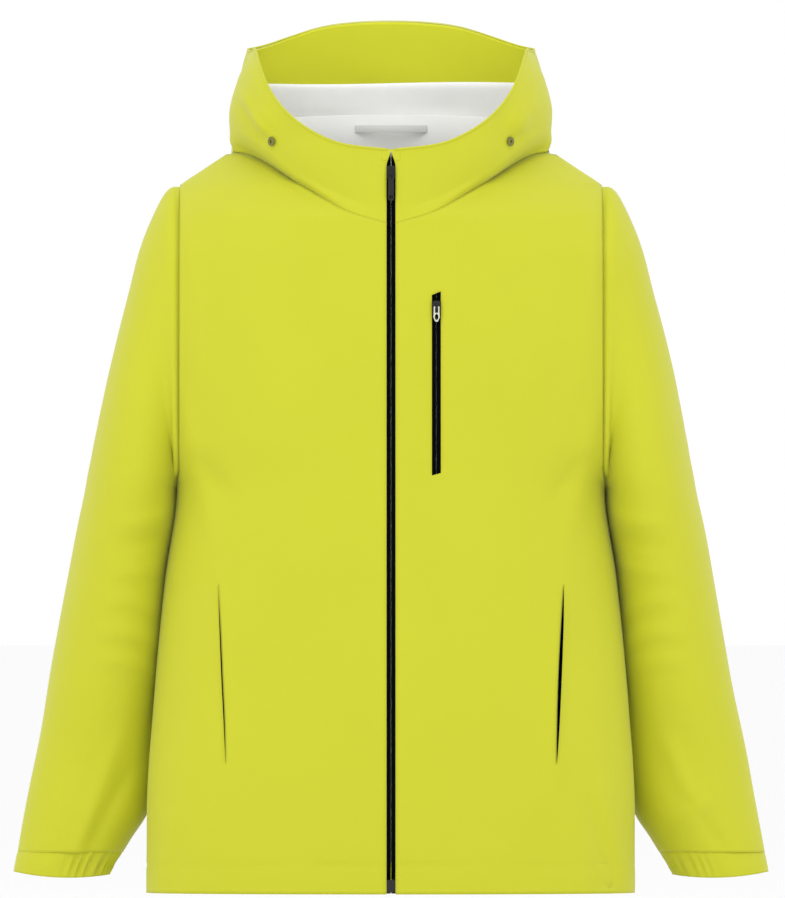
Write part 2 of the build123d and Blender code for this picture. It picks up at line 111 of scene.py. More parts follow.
def ramp(t, start, end):
    """0 before start, 1 after end, and smooth between them."""
    s = np.clip((np.asarray(t, float) - start) / (end - start), 0, 1)
    return s * s * (3 - 2 * s)


def bump(t, centre, half):
    """A smooth rise to 1 at centre that is gone a few halves away."""
    return np.exp(-(((np.asarray(t, float) - centre) / half) ** 2))


# Level sections: height, half width, front, back, depth of the widest line, squareness in front and behind
body = curve([
    (-12, 232, 112, 108, 0, 2.4, 2.4),
    (75, 232, 112, 108, 0, 2.4, 2.4),
    (180, 226, 112, 108, 0, 2.4, 2.4),
    (300, 215, 112, 110, 0, 2.4, 2.4),
    (385, 204, 112, 113, 0, 2.4, 2.4),
    (430, 222, 112, 115, 0, 2.4, 2.4),
    (520, 236, 112, 117, 0, 2.4, 2.4),
    (600, 232, 112, 113, 3, 2.2, 2.3),
    (640, 221, 112, 106, 6, 1.9, 2.1),
    (668, 206, 91, 97, 10, 1.7, 2.1),
    (690, 176, 62, 86, 16, 1.6, 2.6),
    (708, 149, 27, 78, 21, 1.6, 3.6),
    (748, 92, -22, 70, 40, 2.0, 4.5),
])
collar = curve([
    (622, 92, 112, 60, 0, 1.8, 2.4),
    (672, 128, 112, 68, 8, 1.8, 3.0),
    (711, 151, 112, 72, 22, 1.8, 4.0),
    (740, 153, 110, 72, 28, 1.9, 4.5),
    (772, 146, 106, 71, 34, 2.0, 4.5),
    (815, 124, 96, 68, 40, 2.0, 4.5),
])
pouch = curve([
    (560, 62, -139, 158, 148, 3, 3),
    (578, 100, -128, 172, 148, 3, 3),
    (612, 130, -119, 183, 148, 3, 3),
    (660, 147, -108, 187, 144, 4, 3),
    (706, 152, -92, 185, 134, 5, 3),
    (745, 151, -76, 180, 124, 6, 3),
    (790, 142, -75, 170, 118, 6, 3),
    (845, 116, -78, 154, 114, 6, 3),
])
# Where the pouch lies on the shoulders: height, half width, depth
pouch_foot = curve([
    (560, 48, 139),
    (578, 82, 124),
    (612, 108, 112),
    (660, 135, 88),
    (690, 150, 62),
    (698, 151, 34),
    (702, 151, 22),
    (706, 151, 22),
])
# The sleeve below the armpit: height, inner edge, outer edge, centre depth, half depth
sleeve = curve([
    (8, 272, 362, 44, 37),
    (20, 266, 359.5, 44, 39),
    (50, 248, 354.5, 45, 44),
    (78, 231, 349.5, 46, 49),
    (120, 223, 341.5, 46, 53),
    (200, 220, 326, 40, 62),
    (300, 213.5, 307, 26, 72),
    (350, 208, 298, 17, 76),
    (385, 204.3, 290, 10, 77.5),
])
# The sleeve head as a fan about the armpit: angle up from level, outer reach, centre depth, half depth
sleeve_head = curve([
    (0, 89, 10, 77.5),
    (15, 88, 9, 77.5),
    (30, 93, 8, 77),
    (45, 106, 7, 76),
    (60, 133, 6, 74),
    (75, 190, 5, 70),
    (82, 245, 5, 68),
    (86.5, 281, 5, 66),
    (90, 291, 5, 65),
])
neck_seam = curve([(0, 635), (37, 646), (86, 673), (143, 704), (165, 706)])
neck_seam_back = curve([(0, 736), (55, 734), (100, 726), (143, 704), (165, 702)])
hood_edge = curve([(0, 706), (44, 711), (72, 722), (96, 739), (115, 763), (123, 782), (130, 804), (140, 812)])
hood_crown = curve([(0, 833), (58, 828), (96, 817), (122, 808), (140, 804)])


def section(of, angle, height):
    """The point of a level section at an angle from the front, as x, depth and height."""
    angle, height = np.broadcast_arrays(np.asarray(angle, float), np.asarray(height, float))
    wide, front, back, widest, square_front, square_back = np.moveaxis(of(height), -1, 0)
    across, along = np.sin(angle), np.cos(angle)
    ahead = along > 0
    power = np.where(ahead, square_front, square_back)
    reach = np.where(ahead, -(front + widest), back - widest)
    x = wide * np.sign(across) * np.abs(across) ** (2 / power)
    depth = widest + reach * np.abs(along) ** (2 / power)
    return np.stack([x, depth, height], -1)


def angle_across(of, x, height):
    """The angle of the front of a section at a distance across."""
    row = of(height)
    return np.arcsin(np.clip(x / row[..., 0], 0, 1) ** (row[..., 4] / 2))


def solve_height(point_at, target, low, high, count):
    """For each of count columns, the height between low and high where it meets the line target(x)."""
    low, high = np.full(count, float(low)), np.full(count, float(high))
    for _ in range(40):
        middle = (low + high) / 2
        short = middle < target(np.abs(point_at(middle)[..., 0]))[..., 0]
        low, high = np.where(short, middle, low), np.where(short, high, middle)
    return (low + high) / 2


def seam_angle(height):
    """The angle of the side and shoulder seams on the body."""
    _, front, back, widest, square_front, square_back = np.moveaxis(body(height), -1, 0)
    ahead = np.clip((widest - SHOULDER_DEPTH) / (front + widest), 0, 1) ** (square_front / 2)
    behind = np.clip((SHOULDER_DEPTH - widest) / (back - widest), 0, 1) ** (square_back / 2)
    return np.arccos(ahead - behind)


def armhole_angle(height, behind):
    """The angle of the outer edge of a front or of the back: side seam, armhole, shoulder seam."""
    row = body(height)
    power = row[..., 5] if behind else row[..., 4]
    cut = np.arcsin(np.clip(ARMHOLE / row[..., 0], 0, 1) ** (power / 2))
    seam = seam_angle(height)
    cut = np.maximum(math.pi - cut, seam) if behind else np.minimum(cut, seam)
    cut = np.where(row[..., 0] > ARMHOLE, cut, seam)
    share = ramp(height, ARMPIT - 14, ARMPIT + 16)
    return seam * (1 - share) + cut * share


# Meshes
def normals_of(grid):
    """Unit normals of a grid of points. They face out where rows go up and columns go from left to right."""
    up, across = np.gradient(grid, axis=0), np.gradient(grid, axis=1)
    normal = np.cross(across, up)
    return normal / (np.linalg.norm(normal, axis=-1, keepdims=True) + 1e-9)


def mesh_object(name, points, faces, materials, thickness=None):
    """A smooth mesh from millimetre points. With a thickness it is a shell that grows inwards.

    The first material is outside, and the second one is on the inner side of a shell.
    """
    mesh = bpy.data.meshes.new(name)
    mesh.from_pydata(place(points).tolist(), [], faces)
    for material in materials:
        mesh.materials.append(material)
    mesh.polygons.foreach_set("use_smooth", [True] * len(mesh.polygons))
    mesh.update()
    piece = bpy.data.objects.new(name, mesh)
    bpy.context.scene.collection.objects.link(piece)
    if thickness:
        solid = piece.modifiers.new("thickness", "SOLIDIFY")
        solid.thickness = thickness * MM
        solid.offset = -1
        solid.material_offset = 1
        solid.use_even_offset = False
    return piece


def grid_object(name, grid, materials, thickness=None, closed=False, skip=None, outward=None, caps=False):
    """A mesh over a grid of points, without the cells that skip names, and with equal points made one.

    The faces turn away from the point outward, where it is given.
    """
    rows, cols = grid.shape[:2]
    last = cols if closed else cols - 1
    faces = []
    for j in range(rows - 1):
        for i in range(last):
            if skip is not None and skip[j, i]:
                continue
            k = (i + 1) % cols
            faces.append((j * cols + i, j * cols + k, (j + 1) * cols + k, (j + 1) * cols + i))
    if caps:
        faces += [tuple(range(cols))[::-1], tuple(range((rows - 1) * cols, rows * cols))]
    points = grid.reshape(-1, 3)
    used = np.zeros(len(points), bool)
    used[[corner for face in faces for corner in face]] = True
    _, first_seen, group = np.unique(np.round(points, 3), axis=0, return_index=True, return_inverse=True)
    group = group.ravel()
    is_first = np.isin(np.arange(len(points)), first_seen)
    order = np.flatnonzero(is_first & np.isin(group, group[used]))
    lookup = {number: n for n, number in enumerate(group[order])}
    merged = []
    for face in faces:
        corners = []
        for corner in (lookup[group[v]] for v in face):
            if corner not in corners:
                corners.append(corner)
        if len(corners) > 2:
            merged.append(tuple(corners))
    points = points[order]
    if outward is not None:
        quad = points[list(merged[len(merged) // 2][:3])]
        facing = np.cross(quad[1] - quad[0], quad[2] - quad[0])
        if facing @ (quad[0] - outward) < 0:
            merged = [tuple(reversed(face)) for face in merged]
    return mesh_object(name, points, merged, materials, thickness)


def tube_object(name, path, radius, materials, sides=10):
    """A round tube along an open path of millimetre points."""
    path = np.asarray(path, float)
    along = np.gradient(path, axis=0)
    along /= np.linalg.norm(along, axis=1, keepdims=True) + 1e-9
    side = np.cross(along, (0, 0, 1.0))
    weak = np.linalg.norm(side, axis=1) < 0.2
    side[weak] = np.cross(along[weak], (0, 1.0, 0))
    for i in range(1, len(side)):
        if side[i] @ side[i - 1] < 0:
            side[i] *= -1
    side /= np.linalg.norm(side, axis=1, keepdims=True)
    up = np.cross(side, along)
    turn = np.arange(sides) * 2 * math.pi / sides
    ring = side[:, None] * np.cos(turn)[None, :, None] + up[:, None] * np.sin(turn)[None, :, None]
    points = (path[:, None] + radius * ring).reshape(-1, 3)
    faces = []
    for j in range(len(path) - 1):
        a, b = j * sides, (j + 1) * sides
        for i in range(sides):
            k = (i + 1) % sides
            faces.append((a + i, b + i, b + k, a + k))
    faces.append(tuple(range(sides)))
    faces.append(tuple(range(len(points) - 1, len(points) - sides - 1, -1)))
    return mesh_object(name, points, faces, materials)


def face_out(piece, rings):
    """Turns a tube's faces outwards."""
    mesh = piece.data
    face = mesh.polygons[len(mesh.polygons) // 2]
    centre = place(rings.mean(1))
    nearest = centre[np.argmin(np.linalg.norm(centre - np.array(face.center), axis=1))]
    if np.dot(np.array(face.normal), np.array(face.center) - nearest) < 0:
        mesh.flip_normals()


def face_away(piece, middle):
    """Turns a closed piece's faces away from its middle."""
    mesh = piece.data
    centre = place(middle)
    outwards = sum(np.dot(np.array(f.normal), np.array(f.center) - centre) * f.area for f in mesh.polygons)
    if outwards < 0:
        mesh.flip_normals()


def fit(piece, slot, *nodes, body_name="torso"):
    """A piece's body, the CAD nodes that it stands for, and the slot of its finish, which is not used."""
    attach(piece, body_name)
    if nodes:
        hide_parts(*nodes)


# Materials
def principled(name, colour, roughness, **sockets):
    """A new material and its shader."""
    material = bpy.data.materials.new(name)
    material.use_nodes = True
    shader = material.node_tree.nodes["Principled BSDF"]
    shader.inputs["Base Color"].default_value = (*colour, 1)
    shader.inputs["Roughness"].default_value = roughness
    for socket, value in sockets.items():
        shader.inputs[socket.replace("_", " ")].default_value = value
    return material, shader


def texture(material, kind, scale, **settings):
    """A procedural texture on the object's own coordinates."""
    nodes, links = material.node_tree.nodes, material.node_tree.links
    where = nodes.get("Texture Coordinate") or nodes.new("ShaderNodeTexCoord")
    node = nodes.new(kind)
    node.inputs["Scale"].default_value = scale
    for key, value in settings.items():
        if key in node.inputs:
            node.inputs[key].default_value = value
        else:
            setattr(node, key, value)
    links.new(where.outputs["Object"], node.inputs["Vector"])
    return node


def vary(material, shader, source, low, high):
    """Base colour between low and high by a texture."""
    nodes, links = material.node_tree.nodes, material.node_tree.links
    mix = nodes.new("ShaderNodeMix")
    mix.data_type = "RGBA"
    mix.inputs["A"].default_value = (*low, 1)
    mix.inputs["B"].default_value = (*high, 1)
    links.new(source.outputs[0], mix.inputs["Factor"])
    links.new(mix.outputs["Result"], shader.inputs["Base Color"])


def relief(material, shader, sources, distance):
    """A bump from the sum of textures, each with its weight."""
    nodes, links = material.node_tree.nodes, material.node_tree.links
    total = None
    for source, weight in sources:
        part = nodes.new("ShaderNodeMath")
        part.operation = "MULTIPLY_ADD"
        links.new(source.outputs[0], part.inputs[0])
        part.inputs[1].default_value = weight
        if total:
            links.new(total.outputs[0], part.inputs[2])
        else:
            part.inputs[2].default_value = 0
        total = part
    raised = nodes.new("ShaderNodeBump")
    raised.inputs["Distance"].default_value = distance
    raised.inputs["Strength"].default_value = 1
    links.new(total.outputs[0], raised.inputs["Height"])
    links.new(raised.outputs["Normal"], shader.inputs["Normal"])


def weave(material, shader, pitch, depth, grain=0.3):
    """Crossed threads and a little grain."""
    tau = 2 * math.pi / (pitch * MM) / 20
    warp = texture(material, "ShaderNodeTexWave", tau, bands_direction="DIAGONAL")
    weft = texture(material, "ShaderNodeTexWave", tau, bands_direction="Z")
    cloud = texture(material, "ShaderNodeTexNoise", 900.0, Detail=3.0)
    relief(material, shader, [(warp, 0.5), (weft, 0.5), (cloud, grain)], depth * MM)


def shell_cloth(name, colour):
    """Coated nylon in an acid yellow."""
    material, shader = principled(name, colour, 0.62, Sheen_Weight=0.12, Sheen_Roughness=0.5,
                                  Specular_IOR_Level=0.28)
    cloud = texture(material, "ShaderNodeTexNoise", 9.0, Detail=4.0, Roughness=0.55)
    vary(material, shader, cloud, [c * 0.97 for c in colour], [min(1, c * 1.03) for c in colour])
    weave(material, shader, 0.9, 0.03)
    return material


def plain_cloth(name, colour, pitch=1.0, depth=0.06, roughness=0.85, sheen=0.1, gloss=0.2):
    """A matte woven or knitted cloth."""
    material, shader = principled(name, colour, roughness, Sheen_Weight=sheen, Specular_IOR_Level=gloss)
    cloud = texture(material, "ShaderNodeTexNoise", 25.0, Detail=3.0)
    vary(material, shader, cloud, [c * 0.95 for c in colour], [min(1, c * 1.04) for c in colour])
    weave(material, shader, pitch, depth)
    return material


def hard(name, colour, roughness, metallic=0.0):
    """Plastic or painted metal with a slightly uneven gloss."""
    material, shader = principled(name, colour, roughness, Metallic=metallic)
    grain = texture(material, "ShaderNodeTexNoise", 600.0, Detail=2.0)
    relief(material, shader, [(grain, 1.0)], 0.02 * MM)
    return material


YELLOW = (0.560, 0.575, 0.020)
nylon = shell_cloth("shell_nylon", YELLOW)
# The same yellow nylon made about a third brighter: painted light on the hood's facing, which is the shell
# cloth lying in shade inside the hood.
facing_nylon_painted_light = shell_cloth("facing_nylon_painted_light", (0.74, 0.76, 0.030))
backer = plain_cloth("white_backer", (0.88, 0.88, 0.86))
black_tape = plain_cloth("black_tape", (0.002, 0.0024, 0.003), 0.8, 0.03, 0.85, 0.0, 0.03)
white_tape = plain_cloth("white_tape", (0.76, 0.76, 0.74), 0.7, 0.08)
black_coil = hard("black_coil", (0.004, 0.004, 0.005), 0.5)
black_metal = hard("black_metal", (0.006, 0.006, 0.007), 0.45, 0.2)
bright_metal = hard("bright_metal", (0.72, 0.72, 0.62), 0.35, 0.8)
fitting = hard("olive_fitting", (0.16, 0.165, 0.03), 0.5)
elastic = plain_cloth("covered_elastic", (0.62, 0.66, 0.10), 1.4, 0.15)


# Folds: how far the cloth stands proud of the smooth surface, in millimetres
def line_fold(x, h, start, end, half, height):
    """A soft ridge or groove along a straight line on the front view, fading at both ends."""
    (x0, h0), (x1, h1) = start, end
    length = math.hypot(x1 - x0, h1 - h0)
    ux, uh = (x1 - x0) / length, (h1 - h0) / length
    along = (x - x0) * ux + (h - h0) * uh
    off = (x - x0) * uh - (h - h0) * ux
    fade = ramp(along, -0.12 * length, 0.25 * length) * (1 - ramp(along, 0.75 * length, 1.12 * length))
    return height * np.exp(-((off / half) ** 2)) * fade


def add_folds(rise, x, h, folds, fade=1.0):
    """Adds soft lines to a rise: where each starts and ends, its half width, and its height."""
    for start, end, half, height in folds:
        rise += line_fold(x, h, start, end, half, height) * fade


def drape(x, depth, h, seed):
    """Broad, faint waves of cloth that hangs."""
    wave = np.sin(x / 47 + 0.9 * np.sin(h / 120 + seed) + seed) * np.sin(h / 190 + 0.7 * seed)
    wave = wave + 0.6 * np.sin(x / 24 + h / 150 + 2.1 * seed) * np.sin(h / 95 + depth / 80 + seed)
    return wave + 0.25 * np.sin(x / 13 - h / 37 + 1.3 * seed) * np.sin(h / 61 + seed)


# Body
FRONT_ROWS, BACK_ROWS, BACK_COLUMNS = 190, 190, 131
BODY_MIDDLE = np.array([0, 0, 300.0])
FRONT_COLUMNS = (0, 9, 12, 42, 68)  # zip, the chest zip's two edges, the pocket slit, the outer edge
POCKET = (160.5, 208.0, 86.0, 0.0407)  # across and height of the slit's middle, half height, lean
SLIT_SHARE = 0.64  # how far the slit's column stands from closure to edge above the pocket
FRONT_FOLDS = [((196, 470), (168, 330), 10, 2.2), ((190, 420), (150, 372), 9, -2.0),
               ((194, 640), (182, 480), 12, 1.6)]
LEFT_FRONT_FOLDS = [((226, 0), (196, 112), 9, 3.2), ((212, 0), (188, 100), 7, -2.4),
                    ((163, 300), (157, 100), 13, 2.4)]
RIGHT_FRONT_FOLDS = [((224, 0), (205, 80), 9, 1.6), ((163, 300), (158, 180), 10, 1.2)]
BACK_FOLDS = [((192, 470), (150, 330), 12, 2.6), ((188, 410), (140, 340), 9, -2.2)]


def front_angles(height):
    """The angles of the front's ruling lines at some heights."""
    slit = POCKET[0] + (height - POCKET[1]) * POCKET[3]
    edge = armhole_angle(height, behind=False)
    start = angle_across(body, SLOT, height)
    high = start + (edge - start) * SLIT_SHARE
    share = ramp(height, 330, 560)
    pocket = angle_across(body, slit, height) * (1 - share) + high * share
    chest = [angle_across(body, CHEST_X + s * SLOT, height) for s in (-1, 1)]
    return [start, *chest, pocket, edge]


def front_point(column, height):
    """The point of a column of the front at a height."""
    lines = front_angles(height)
    column = np.broadcast_to(column, np.shape(height))
    angle = np.zeros(np.shape(height))
    for k, (first, last) in enumerate(zip(FRONT_COLUMNS, FRONT_COLUMNS[1:])):
        share = (column - first) / (last - first)
        inside = (column >= first) & (column <= last)
        angle = np.where(inside, lines[k] * (1 - share) + lines[k + 1] * share, angle)
    return section(body, angle, height)


def front_top(columns):
    """The height where each column of the front meets the neck seam."""
    return solve_height(lambda h: front_point(columns, h), neck_seam, 560, 712, len(columns))


def front_folds(x, depth, h, side):
    """The folds of a front. They differ a little from one side to the other."""
    rise = 0.9 * drape(x, depth, h, 1.0 if side > 0 else 2.3)
    rise = rise * ramp(x, 6, 60) * (1 - 0.5 * ramp(h, 560, 640))
    add_folds(rise, x, h, FRONT_FOLDS)
    rise += 0.35 * np.sin(h / 9.0) * bump(x, SLOT, 9) * ramp(h, 30, 90)
    add_folds(rise, x, h, LEFT_FRONT_FOLDS if side > 0 else RIGHT_FRONT_FOLDS)
    return rise


def make_front(side_name, side):
    """A front from the closure to the side and shoulder seams, with its pocket slit and chest slot."""
    columns = np.arange(FRONT_COLUMNS[-1] + 1)
    slit = FRONT_COLUMNS[3]
    height = np.linspace(0, 1, FRONT_ROWS)[:, None] * front_top(columns)[None, :]
    grid = front_point(columns[None, :], height)
    out = normals_of(grid)
    x, depth, h = np.moveaxis(grid, -1, 0)
    rise = front_folds(x, depth, h, side)
    rise -= 1.2 * bump(h - neck_seam(x)[..., 0], -5, 4) * ramp(x, 20, 60)
    rise -= 0.9 * bump(h, HEM_STITCH, 1.6)
    rise *= ramp(FRONT_COLUMNS[-1] - columns, 0, 5) * ramp(np.arange(FRONT_ROWS)[::-1], 0, 4)[:, None]
    grid = grid + out * rise[..., None]
    grid = np.insert(grid, slit, grid[:, slit], axis=1)
    height = np.insert(height, slit, height[:, slit], axis=1)
    # the slit opens into a narrow lens
    reach = np.clip(1 - ((height[:, slit] - POCKET[1]) / POCKET[2]) ** 2, 0, None)
    gape = (2.0 if side > 0 else 0.9) * reach ** 0.7
    open_rows = reach > 0
    for column, way in ((slit, -1), (slit + 1, 1)):
        grid[open_rows, column, 0] += way * gape[open_rows]
        grid[open_rows, column, 1] += (0.6 if way < 0 else -1.2) * gape[open_rows]
    skip = np.zeros((FRONT_ROWS - 1, grid.shape[1] - 1), bool)
    skip[:, slit] = True
    if side > 0:
        first, last = FRONT_COLUMNS[1], FRONT_COLUMNS[2]
        rows = (height[1:, first] > CHEST_ZIP[0]) & (height[:-1, first] < CHEST_ZIP[1])
        skip[rows, first:last] = True
    grid[..., 0] *= side
    piece = grid_object(f"front_{side_name}", grid, [nylon, backer], CLOTH, skip=skip, outward=BODY_MIDDLE)
    fit(piece, "shell", f"front_panel_{side_name}")


def back_point(share, height):
    """A point of the back at a share of the way from the left seam to the right one."""
    edge = armhole_angle(height, behind=True)
    return section(body, edge + (2 * math.pi - 2 * edge) * share, height)


def back_top(share):
    """The height where each column of the back meets the neck seam."""
    return solve_height(lambda h: back_point(share, h), neck_seam_back, 600, 744, len(share))


def make_back():
    """The back, from side seam to side seam."""
    share = np.linspace(0, 1, BACK_COLUMNS)
    height = np.linspace(0, 1, BACK_ROWS)[:, None] * back_top(share)[None, :]
    grid = back_point(share[None, :], height)
    out = normals_of(grid)
    x, depth, h = np.moveaxis(grid, -1, 0)
    rise = 1.3 * drape(x, depth, h, 4.2) * ramp(h, 10, 60)
    for way in (-1, 1):
        add_folds(rise, way * x, h, BACK_FOLDS)
    rise -= 0.8 * bump(h, HEM_STITCH, 1.6)
    rise *= np.minimum(ramp(share, 0, 0.05), ramp(1 - share, 0, 0.05))[None, :]
    rise *= ramp(np.arange(BACK_ROWS)[::-1], 0, 4)[:, None]
    piece = grid_object("back", grid + out * rise[..., None], [nylon, backer], CLOTH, outward=BODY_MIDDLE)
    fit(piece, "shell", "back_panel")


# Sleeves
SLEEVE_COLUMNS = 96
HEAD_START = 3.0  # how far out from the armpit the fan of the sleeve head begins
SEAM_RINGS = 12  # the rings that turn from the armhole's loop into the fan
MIDDLE_RING = 60
ARMHOLE_MIDDLE = (5.0, 531.0)  # depth and height
ARMHOLE_HALF = (66.0, 144.0)
# Height and size of the creases that are highest in front and behind, and of those that are lowest there
ELBOW_FOLDS = ((232, 2.8), (205, 2.2), (262, 2.0))
ARM_FOLDS = ((356, 2.2), (334, -2.0), (308, 1.8))
LEFT_SLEEVE_FOLDS = [((296, 60), (262, 150), 9, 3.2), ((318, 40), (276, 96), 7, -2.2),
                     ((312, 96), (268, 60), 8, 2.0)]
RIGHT_SLEEVE_FOLDS = [((306, 24), (258, 152), 8, 3.0), ((290, 36), (246, 120), 7, -2.4)]


def armhole_loop(turn):
    """Points of the armhole on the body at angles round its middle, where 0 is at the shoulder."""
    heights = np.linspace(ARMPIT - 13, 672, 160)
    ahead = section(body, armhole_angle(heights, False), heights)
    behind = section(body, armhole_angle(heights, True), heights)
    loop = np.concatenate([behind[::-1], ahead])
    depth, height = (loop[:, 1:] - ARMHOLE_MIDDLE).T / np.array(ARMHOLE_HALF)[:, None]
    angle = np.unwrap(np.arctan2(depth, height))
    order = np.argsort(angle)
    angle, loop = angle[order], loop[order]
    whole = np.concatenate([angle - 2 * math.pi, angle, angle + 2 * math.pi])
    loops = np.tile(loop, (3, 1))
    return np.stack([np.interp(turn, whole, loops[:, k]) for k in range(3)], -1)


def beside_body(height, depth):
    """How far across a sleeve's inner edge hangs when it touches the side of the body."""
    wide, _, back_depth, widest, _, square = body(height)
    reach = np.clip((depth - widest) / (back_depth - widest), 0, 1)
    return wide * (1 - reach**square) ** (1 / square) + 0.1


def sleeve_rings(heights, fan_angles, turn):
    """Rings down the sleeve: first the fan of the head, then level ones."""
    rings = []
    for theta in fan_angles:
        reach, depth, half_depth = sleeve_head(theta)
        outwards = np.array([math.cos(math.radians(theta)), 0, math.sin(math.radians(theta))])
        middle = np.array([ARMHOLE, depth, ARMPIT]) + outwards * (reach + HEAD_START) / 2
        ring = middle + outwards * ((reach - HEAD_START) / 2) * np.cos(turn)[:, None]
        ring = ring + np.array([0, 1, 0]) * half_depth * np.sin(turn)[:, None]
        rings.append(ring)
    for height in heights:
        inner, outer, depth, half_depth = sleeve(height)
        inner += (beside_body(height, depth) - inner) * ramp(height, 150, 250)
        x = (inner + outer) / 2 + (outer - inner) / 2 * np.cos(turn)
        rings.append(np.stack([x, depth + half_depth * np.sin(turn), np.full(len(turn), height)], -1))
    return np.array(rings)


def relax(grid, rows, rounds):
    """Smooths a closed grid along its length within some rows."""
    first, last = rows
    for _ in range(rounds):
        middle = (grid[first - 1:last - 1] + 2 * grid[first:last] + grid[first + 1:last + 1]) / 4
        grid[first:last] = middle
    return grid


def sleeve_folds(x, depth, h, turn, side):
    """The folds of a sleeve. turn is 0 on the outer side and a quarter at the back."""
    outer, front_side = np.cos(turn), -np.sin(turn)
    seed = 0.6 if side > 0 else 3.0
    rise = 1.1 * np.sin(h / 52 + 1.6 * np.sin(turn + seed) + seed) * (1 - ramp(h, 300, 420)) * ramp(h, 20, 90)
    rise += 0.7 * np.sin(h / 23 + 2.2 * np.cos(turn - seed)) * (1 - ramp(h, 120, 260))
    rise = rise * ramp(outer, -0.9, -0.4) + 1.3 * ramp(-outer, 0.6, 0.95) * bump(h, 360, 24)
    rise += 0.8 * np.sin(h / 75 + 2 * turn + seed) * ramp(h, 90, 200) * (1 - ramp(h, 500, 600))
    elbow = ramp(-outer, -0.5, 0.2) * ramp(np.abs(front_side), 0.35, 0.8)
    for height, size in ELBOW_FOLDS:
        rise += size * elbow * bump(h - 16 * np.abs(front_side), height, 9)
    for height, size in ARM_FOLDS:
        rise += size * elbow * bump(h + 22 * np.abs(front_side), height + 18, 8)
    folds = LEFT_SLEEVE_FOLDS if side > 0 else RIGHT_SLEEVE_FOLDS
    add_folds(rise, x, h, folds, ramp(front_side, 0.1, 0.6))
    return rise


def make_sleeve(side_name, side):
    """A sleeve from the armhole to the cuff in one cloth, its head fanning out from the armhole before it
    hangs down the arm.
    """
    turn = np.linspace(0, 2 * math.pi, SLEEVE_COLUMNS, endpoint=False)
    fan = np.concatenate([np.linspace(90, 78, 14), np.linspace(76, 0, 44)])
    heights = np.linspace(ARMPIT - 4, CUFF_TOP, 104)
    rings = sleeve_rings(heights, fan, turn)
    loop = armhole_loop(turn)
    for j in range(SEAM_RINGS):
        share = 1 - ramp(j, 0, SEAM_RINGS)
        rings[j] = rings[j] * (1 - share) + (loop + (j * 1.2, 0, 0)) * share
    rings[0] = loop - (3.5, 0, 0)
    rings = relax(rings, (2, 40), 3)
    rings = relax(rings, (44, 80), 16)
    x, depth, h = np.moveaxis(rings, -1, 0)
    out = normals_of(np.concatenate([rings[:, -1:], rings, rings[:, :1]], 1))[:, 1:-1]
    centre = rings.mean(1, keepdims=True)
    if ((rings[MIDDLE_RING] - centre[MIDDLE_RING]) * out[MIDDLE_RING]).sum() < 0:
        out = -out
    calm = ramp(np.arange(len(rings)), 4, 26)[:, None]
    rise = sleeve_folds(x, depth, h, turn[None, :], side) * calm
    from_seam = np.arange(len(rings))[:, None]
    tip = bump(np.angle(np.exp(1j * turn)), 0, 0.4)[None, :]
    rise += 1.6 * bump(from_seam, 4.5, 2.2) - 3.4 * bump(from_seam, 1, 1.2) * (1 - 0.8 * tip)
    rings = rings + out * rise[..., None]
    rings[..., 0] *= side
    grid = rings if side > 0 else rings[:, ::-1]
    piece = grid_object(f"sleeve_{side_name}_cloth", grid, [nylon, backer], CLOTH, closed=True)
    face_out(piece, rings)
    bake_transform(piece)
    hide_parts(f"sleeve_{side_name}", f"sleeve_head_{side_name}")


def make_cuff(side_name, side):
    """A cuff with a turned hem, gathered by elastic on its inner half."""
    turn = np.linspace(0, 2 * math.pi, 200, endpoint=False)
    heights = np.linspace(CUFF_TOP + 0.5, CUFF_END, 14)
    rings = sleeve_rings(heights, [], turn)
    gather = ramp(-np.cos(turn), -0.25, 0.35) * (1.0 if side < 0 else 0.45)
    share = np.linspace(0, 1, len(heights))[:, None]
    wave = np.sin(turn * 30 + 1.5 * np.sin(turn * 7)) * 1.7 * gather * bump(share, 0.55, 0.5)
    pinch = -2.2 * gather * bump(share, 0.5, 0.35)
    hem = -0.5 * bump(share, 0.05, 0.08) - 0.5 * bump(share, 0.92, 0.07)
    centre = rings.mean(1, keepdims=True)
    out = rings - centre
    out[..., 2] = 0
    out /= np.linalg.norm(out, axis=-1, keepdims=True)
    rings = rings + out * (wave + pinch + hem)[..., None]
    rings[..., 2] += 1.5 * np.cos(turn) * share + 2.0 * (share * np.cos(2 * turn))
    rings[..., 0] *= side
    inside = rings[::-1] - out[::-1] * np.array([side, 1, 1]) * 2.0
    rings = np.concatenate([rings, inside[:9]])
    piece = grid_object(f"cuff_{side_name}_cloth", rings, [nylon, backer], 0.6, closed=True)
    face_out(piece, rings[:len(heights)])
    fit(piece, "shell", f"cuff_{side_name}", body_name=f"arm_{side_name}")


# Hood
COLLAR_COLUMNS = 52
POUCH_SIDE, POUCH_BACK = 26, 60  # columns from the foot to the widest line, and from there to the middle
POUCH_FOOT, POUCH_TOP = 560, 834
POUCH_MIDDLE = np.array([0, 100.0, 700.0])
LOCK_PLACE = (120.5, 733)  # across and height of the cord lock under the cloth
LEFT_COLLAR_FOLDS = [((139, 752), (118, 722), 7, 1.6)]
RIGHT_COLLAR_FOLDS = [((142, 762), (113, 716), 4, 2.4), ((146, 752), (119, 712), 4, -1.8)]
POUCH_FOLDS = [((120, 690), (28, 628), 9, 4.0), ((138, 742), (70, 700), 8, -3.0)]


def neck_edge():
    """The body's neck edge on the left, from the closure over the shoulder to the middle of the back."""
    columns = np.linspace(0, FRONT_COLUMNS[-1], 300)
    share = np.linspace(0, 0.5, 300)
    return np.concatenate([front_point(columns, front_top(columns)), back_point(share, back_top(share))])


